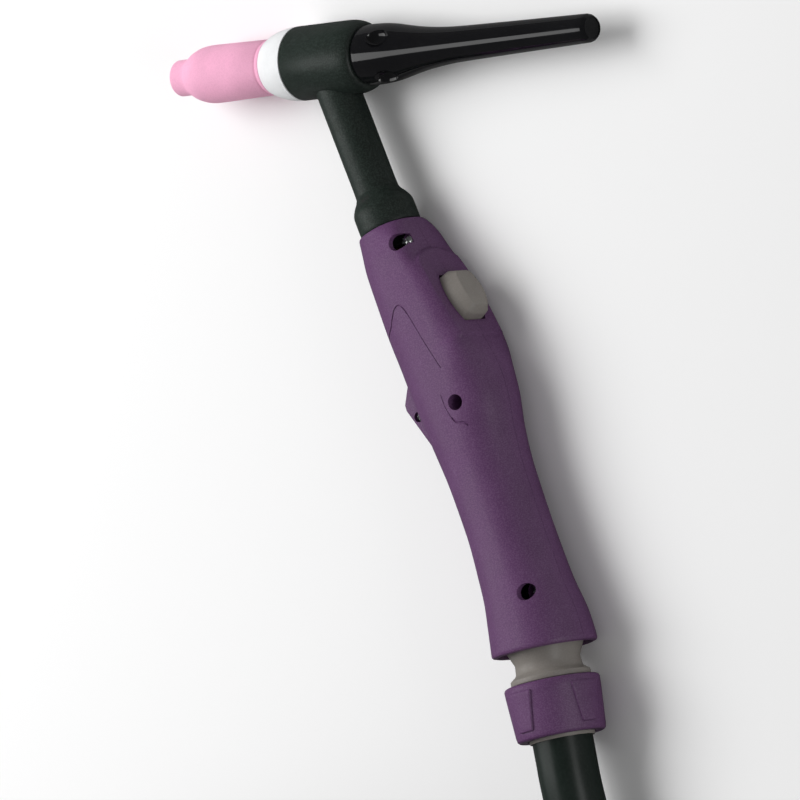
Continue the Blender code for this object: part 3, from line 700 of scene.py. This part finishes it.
def handleHalf(side):
    # a flat grid is wrapped round the handle and given its wall
    look = handleLook
    end = len(look["sections"]) - 1
    rows, around = 210, 84
    source = bmesh.new()
    bmesh.ops.create_grid(source, x_segments=rows, y_segments=around, size=1.0)
    for vert in source.verts:
        s = (vert.co.x + 1) / 2 * end
        angle = (vert.co.y + 1) / 2 * math.pi
        x, y, z = handlePoint(s, angle)
        vert.co = Vector((x, y, side * (z + look["split"]))) * mm
    bmesh.ops.recalc_face_normals(source, faces=source.faces)
    centre = Vector((55.0, -140.0, 0.0)) * mm
    probe = source.faces[len(source.faces) // 2]
    if (probe.calc_center_median() - centre).dot(probe.normal) < 0:
        bmesh.ops.reverse_faces(source, faces=source.faces)
    bmesh.ops.solidify(source, geom=source.faces[:], thickness=look["wall"] * mm)
    bmesh.ops.transform(source, matrix=torchPlace, verts=source.verts)
    return source


def prism(outline, low, high, place):
    # an outline of (x, y) points pulled up between two heights
    return stack([[(x, y, z) for x, y in outline] for z in (low, high)], place)


def wellPlace(x, y):
    return torchPlace @ Matrix.Translation((x * mm, y * mm, 0)) @ Matrix.Rotation(
        -math.pi / 2, 4, "Y")


def seamTube(points, radius, name):
    curve = bpy.data.curves.new(name, "CURVE")
    curve.dimensions = "3D"
    curve.bevel_depth = radius * mm
    curve.bevel_resolution = 2
    curve.use_fill_caps = True
    route = curveThrough(points, 8)
    line = curve.splines.new("POLY")
    line.points.add(len(route) - 1)
    for target, source in zip(line.points, route):
        target.co = (*source, 1.0)
    made = bpy.data.objects.new(name, curve)
    bpy.context.scene.collection.objects.link(made)
    graph = bpy.context.evaluated_depsgraph_get()
    tube = bpy.data.objects.new(name, bpy.data.meshes.new_from_object(made.evaluated_get(graph)))
    bpy.context.scene.collection.objects.link(tube)
    bpy.data.objects.remove(made)
    return tube


# seams as (section number, degrees round the handle), with the groove's radius
seams = [
    ([(4.40, 178), (4.20, 164), (3.98, 147), (3.82, 131), (3.60, 120.1), (3.396, 108.8),
      (3.366, 98.4), (3.522, 93.5), (3.716, 91.4)], 0.34),
    ([(3.716, 91.4), (3.946, 89.5), (4.738, 81.7), (5.726, 70.2)], 0.2),
    ([(6.484, 84.2), (6.892, 83.1), (7.1, 81.0), (7.3, 78.5)], 0.18),
    ([(7.3, 78.5), (7.476, 73.8), (7.54, 68.0), (7.578, 62.9), (7.712, 59.0)], 0.46),
]


def makeHandle():
    look = handleLook
    for side, name, node in ((1, "upper_handle_half", "handle_shell_left"),
                             (-1, "lower_handle_half", "handle_shell_right")):
        half = finish(handleHalf(side), name, "handle", "purpleMoulding", [node])
        fin = prism(look["hook"], side * look["split"], side * look["hookHalf"], torchPlace)
        softEdges(fin, 0.5, 20, 3)
        carve(half, cutterFrom(fin, "fin"), "UNION")
        for x, y, seat, length, reach, wide, well, _ in look["screws"].values():
            place = wellPlace(x, y)
            if reach:
                boss = turn([(side * 0.1, 0.0), (side * 0.1, wide), (side * reach, wide),
                             (side * reach, 0.0)], place, 32, 0)
                carve(half, cutterFrom(boss, "boss"), "UNION")
            low = seat - length - 0.3
            carve(half, cutterFrom(turn([
                (low, 0.0), (low, 1.75), (seat, 1.75), (seat, well), (30.0, well), (30.0, 0.0)],
                place, 48, 0), "well"))
        for route, radius in seams:
            points = []
            for s, degrees in route:
                x, y, z = handlePoint(s, math.radians(degrees))
                points.append(torchPlace @ (Vector((x, y, side * z)) * mm))
            carve(half, seamTube(points, radius, "seam"))
        carve(half, cutterFrom(stack([buttonRing(h, 0.9, 0.9) for h in (-6.0, 6.0)],
                                     buttonPlace()), "window"))
        half.data.shade_smooth()
        half.data.set_sharp_from_angle(angle=math.radians(30))
    print("handle ready")


def buttonPlace():
    look = buttonLook
    turnBy = Matrix.Rotation(-math.radians(look["angle"]), 4, "Z")
    return torchPlace @ Matrix.Translation(Vector((*look["centre"], 0)) * mm) @ turnBy


def buttonRing(height, longer=0.0, wider=0.0, cut=0.0, count=16):
    # boat-shaped outline: X along the handle, Y outwards, bowed sides
    look = buttonLook
    length, width = look["length"] / 2 + longer, look["width"] / 2 + wider
    steps = [-1 + 2 * k / count for k in range(count + 1)]
    side = [(length * k, height, width * (1 - look["taper"] * k * k)
             * (1 - cut * (abs(k) > 0.99))) for k in steps]
    return side + [(x, y, -z) for x, y, z in reversed(side)]


def crowned(ring, fall):
    # the ring drops towards its two ends, as the button's top does
    half = buttonLook["length"] / 2
    return [(x, y - fall * (x / half) ** 2, z) for x, y, z in ring]


def makeButton():
    look = buttonLook
    place = buttonPlace()
    top = look["proud"]
    rings = [buttonRing(-4.8, 1.0, 1.6), buttonRing(-3.4, 1.0, 1.6), buttonRing(-3.4, 0, 0, 0.34),
             buttonRing(0.0, 0, 0, 0.34), crowned(buttonRing(3.6, -0.25, -0.6, 0.32), 0.4),
             crowned(buttonRing(top + 0.2, -2.6, -2.7, 0.22), 0.7)]
    source = stack(rings, place)
    softEdges(source, 0.35, 24, 3)
    button = finish(source, "push_button", "button", "greyNylon", ["button"])
    dimple = bmesh.new()
    bmesh.ops.create_uvsphere(dimple, u_segments=48, v_segments=24, radius=1.0 * mm)
    bmesh.ops.scale(dimple, vec=(3.6, 0.8, 2.5), verts=dimple.verts)
    bmesh.ops.translate(dimple, vec=(0.6 * mm, (top + 0.66) * mm, 0), verts=dimple.verts)
    bmesh.ops.transform(dimple, matrix=place, verts=dimple.verts)
    carve(button, cutterFrom(dimple, "dimple"))
    button.data.shade_smooth()
    button.data.set_sharp_from_angle(angle=math.radians(30))
    frameRing = stack([buttonRing(h, 0.82, 0.82) for h in (-2.6, 0.03)], place)
    bezel = finish(frameRing, "button_surround", "handle", "purpleMoulding",
                   ["button_bezel"])
    carve(bezel, cutterFrom(stack([buttonRing(h, 0.28, 0.28) for h in (-6.0, 6.0)], place),
                            "opening"))
    print("button ready")


def makeInsert():
    # the leaf-shaped insert lies flush in the front, inside its seam
    look = handleLook
    source = bmesh.new()
    bmesh.ops.create_grid(source, x_segments=60, y_segments=40, size=1.0)
    for vert in source.verts:
        s = lerp(3.9, 5.4, (vert.co.x + 1) / 2)
        spread = 11 + 9 * math.sin(math.pi * (vert.co.x + 1) / 2)
        angle = math.radians(180 + spread * vert.co.y)
        x, y, z = handlePoint(s, angle)
        vert.co = Vector((x, y, z)) * mm
    bmesh.ops.recalc_face_normals(source, faces=source.faces)
    middle = source.faces[len(source.faces) // 2]
    if middle.normal.x > 0:
        bmesh.ops.reverse_faces(source, faces=source.faces)
    for vert in source.verts:
        vert.co += Vector((-0.22, -0.08, 0)) * mm
    bmesh.ops.solidify(source, geom=source.faces[:], thickness=1.0 * mm)
    softEdges(source, 0.15, 60, 2)
    bmesh.ops.transform(source, matrix=torchPlace, verts=source.verts)
    finish(source, "front_grip_insert", "handle", "purpleMoulding",
           ["front_insert"])


def makeScrews():
    for name, (x, y, seat, length, *_, radius) in handleLook["screws"].items():
        place = wellPlace(x, y)
        crown = [(seat + 0.3 + 1.9 * math.sin(a), radius * math.cos(a) ** 0.7)
                 for a in (math.pi / 2 * k / 8 for k in range(1, 8))]
        profile = [(seat - length, 0.0), (seat - length, 1.0), (seat - length + 0.8, 1.4),
                   (seat + 0.3, 1.4), (seat + 0.3, radius), (seat + 0.6, radius)]
        screw = finish(turn(profile + crown + [(seat + 2.2, 0.0)], place, 48, 0),
                       f"cross_screw_{name}", "handle", "zincPlate",
                       [f"handle_screw_{name}"])
        for number in range(2):
            slot = bmesh.new()
            bmesh.ops.create_cube(slot, size=1.0)
            bmesh.ops.scale(slot, vec=(2.6 * mm, 3.0 * mm, 0.75 * mm), verts=slot.verts)
            bmesh.ops.translate(slot, vec=((seat + 2.2) * mm, 0, 0), verts=slot.verts)
            turnBy = Matrix.Rotation(math.pi / 2 * number + 0.4, 4, "X")
            bmesh.ops.transform(slot, matrix=place @ turnBy, verts=slot.verts)
            carve(screw, cutterFrom(slot, "slot"))
        screw.data.shade_smooth()
        screw.data.set_sharp_from_angle(angle=math.radians(35))
    print("screws ready")


makeHandle()
makeButton()
makeInsert()
makeScrews()


# ---- swivel: ball, nut with its grip pads, and the ring that clamps the cable cover
swivelLook = {
    "ballRadius": 16.2,
    "padWide": 20.5,                  # half angles in degrees, at the ends of a pad
    "padNarrow": 12.0,
    "padPhase": 7.0,
}


def makeSwivel():
    look = swivelLook
    axis = Vector(joints["nut_screw"]["axis"])
    place = Matrix((axis, sideAxis.cross(axis), sideAxis)).transposed().to_4x4()
    place.translation = ballPoint
    radius = look["ballRadius"]
    ball = [(x, math.sqrt(radius ** 2 - x ** 2)) for x in [-12 + 16.8 * k / 20 for k in range(21)]]
    flare = curveThrough([(13.6, 13.55), (14.3, 14.0), (15.0, 14.9), (15.9, 16.1)], 4)
    finish(turn([(-12.0, 9.5)] + ball + [(9.9, 13.2)] + [tuple(p) for p in flare] + [
        (16.2, 16.2), (17.8, 16.2), (18.0, 16.0), (18.0, 15.2), (32.0, 15.2), (32.0, 9.5)],
        place, soft=0.2), "swivel_ball", "ball", "greyNylon", ["ball_joint"])
    finish(turn([(32.4, 12.7), (32.4, 15.1), (35.9, 15.1), (36.3, 13.5), (41.6, 13.3),
                 (42.0, 13.1), (42.1, 12.7)], place, soft=0.12), "cable_ring", "clamp_ring",
           "greyNylon", ["cable_clamp_ring"])
    nut = turn([(18.3, 15.5), (18.3, 18.2), (18.7, 19.0), (19.5, 19.4), (22.0, 19.3),
                (38.5, 18.2), (40.1, 17.9), (40.8, 17.1), (40.8, 13.8), (36.6, 13.8),
                (36.2, 15.5)], place, 96, 0.15)
    nut = finish(nut, "swivel_nut", "cable_nut", "purpleMoulding",
                 ["cable_nut"])
    for number in range(4):                          # raised grip pads, narrower at one end
        pad = bmesh.new()
        bmesh.ops.create_grid(pad, x_segments=10, y_segments=12, size=1.0)
        for vert in pad.verts:
            share = (vert.co.x + 1) / 2
            spread = math.radians(lerp(look["padWide"], look["padNarrow"], share))
            angle = math.radians(look["padPhase"] + 90 * number) + spread * vert.co.y
            radius = lerp(20.1, 19.1, share)
            vert.co = Vector((lerp(21.2, 37.6, share), radius * math.cos(angle),
                              radius * math.sin(angle))) * mm
        bmesh.ops.recalc_face_normals(pad, faces=pad.faces)
        facing = pad.faces[60]
        if facing.normal.dot(Vector((0, *facing.calc_center_median().yz))) < 0:
            bmesh.ops.reverse_faces(pad, faces=pad.faces)
        bmesh.ops.solidify(pad, geom=pad.faces[:], thickness=2.6 * mm)
        softEdges(pad, 0.55, 50, 3)
        bmesh.ops.transform(pad, matrix=place, verts=pad.verts)
        carve(nut, cutterFrom(pad, "pad"), "UNION")
    nut.data.shade_smooth()
    nut.data.set_sharp_from_angle(angle=math.radians(32))
    print("swivel ready")


makeSwivel()


# ---- finishes for the CAD nodes that stay as they are
def dressNodes():
    looks = {
        "blackMoulding": ["microswitch", "swivel_seat"],
        "softRubber": ["back_cap_oring", "power_cable", "hose_in_ball"],
        "greyNylon": ["switch_plunger"],
        "turnedBrass": ["torch_body", "power_union_nut"],
        "drawnCopper": ["collet_body", "collet", "neck_tube"],
    }
    for material, names in looks.items():
        for name in names:
            data = frame["nodes"][name].data
            data.materials.clear()
            data.materials.append(finishes[material])
    print("nodes dressed")


dressNodes()


# ---- studio: a pale floor, soft lights and an even sky
studio = {
    "floor": 6.0,
    "floorTone": (0.93, 0.93, 0.93),
    "sky": 0.28,
    "mirroredSky": 0.06,              # what glossy surfaces see of the sky
    # name, direction from the torch, distance, size, energy in watts, lights, is mirrored
    "lights": [
        ("key", (-0.60, 0.30, 0.74), 1.9, (1.5, 1.5), 34.0, True, False),
        ("strip", (-0.656, 0.02, 0.7545), 1.6, (0.6, 1.8), 4.6, True, True),
        ("rim", (0.95, -0.20, 0.30), 1.5, (0.9, 0.5), 3.2, True, True),
    ],
}


def makeFloorFinish():
    # pale to the eye, but darker where a glossy surface mirrors it
    pale = bpy.data.materials.new("paleFloor")
    pale.use_nodes = True
    nodes, links = pale.node_tree.nodes, pale.node_tree.links
    shader = nodes["Principled BSDF"]
    shader.inputs["Roughness"].default_value = 0.9
    tone = nodes.new("ShaderNodeMix")
    tone.data_type = "RGBA"
    tone.inputs["A"].default_value = (*studio["floorTone"], 1)
    tone.inputs["B"].default_value = (0.12, 0.12, 0.12, 1)
    rays = nodes.new("ShaderNodeLightPath")
    links.new(rays.outputs["Is Glossy Ray"], tone.inputs["Factor"])
    links.new(tone.outputs["Result"], shader.inputs["Base Color"])
    return pale


def makeSky():
    world = bpy.data.worlds.new("sky")
    bpy.context.scene.world = world
    world.use_nodes = True
    nodes, links = world.node_tree.nodes, world.node_tree.links
    sky = nodes["Background"]
    sky.inputs["Color"].default_value = (1, 1, 1, 1)
    rays = nodes.new("ShaderNodeLightPath")
    level = nodes.new("ShaderNodeMapRange")
    level.inputs["To Min"].default_value = studio["sky"]
    level.inputs["To Max"].default_value = studio["mirroredSky"]
    links.new(rays.outputs["Is Glossy Ray"], level.inputs["Value"])
    links.new(level.outputs["Result"], sky.inputs["Strength"])


def makeStudio():
    bpy.context.scene.view_settings.view_transform = "Standard"
    floor = bmesh.new()
    bmesh.ops.create_grid(floor, x_segments=1, y_segments=1, size=studio["floor"])
    mesh = bpy.data.meshes.new("floor")
    floor.to_mesh(mesh)
    floor.free()
    made = bpy.data.objects.new("floor", mesh)
    bpy.context.scene.collection.objects.link(made)
    mesh.materials.append(makeFloorFinish())
    middle = torchPlace @ (Vector(camera["aim"]) * mm)
    for name, towards, distance, size, energy, lights, mirrored in studio["lights"]:
        data = bpy.data.lights.new(name, "AREA")
        data.shape = "RECTANGLE"
        data.size, data.size_y = size
        data.energy = energy
        lamp = bpy.data.objects.new(name, data)
        bpy.context.scene.collection.objects.link(lamp)
        offset = torchPlace.to_3x3() @ Vector(towards).normalized()
        lamp.location = middle + offset * distance
        lamp.rotation_euler = offset.to_track_quat("Z", "Y").to_euler()
        lamp.visible_camera = False
        lamp.visible_diffuse = lights
        lamp.visible_glossy = mirrored
    makeSky()
    print("studio ready")


makeStudio()
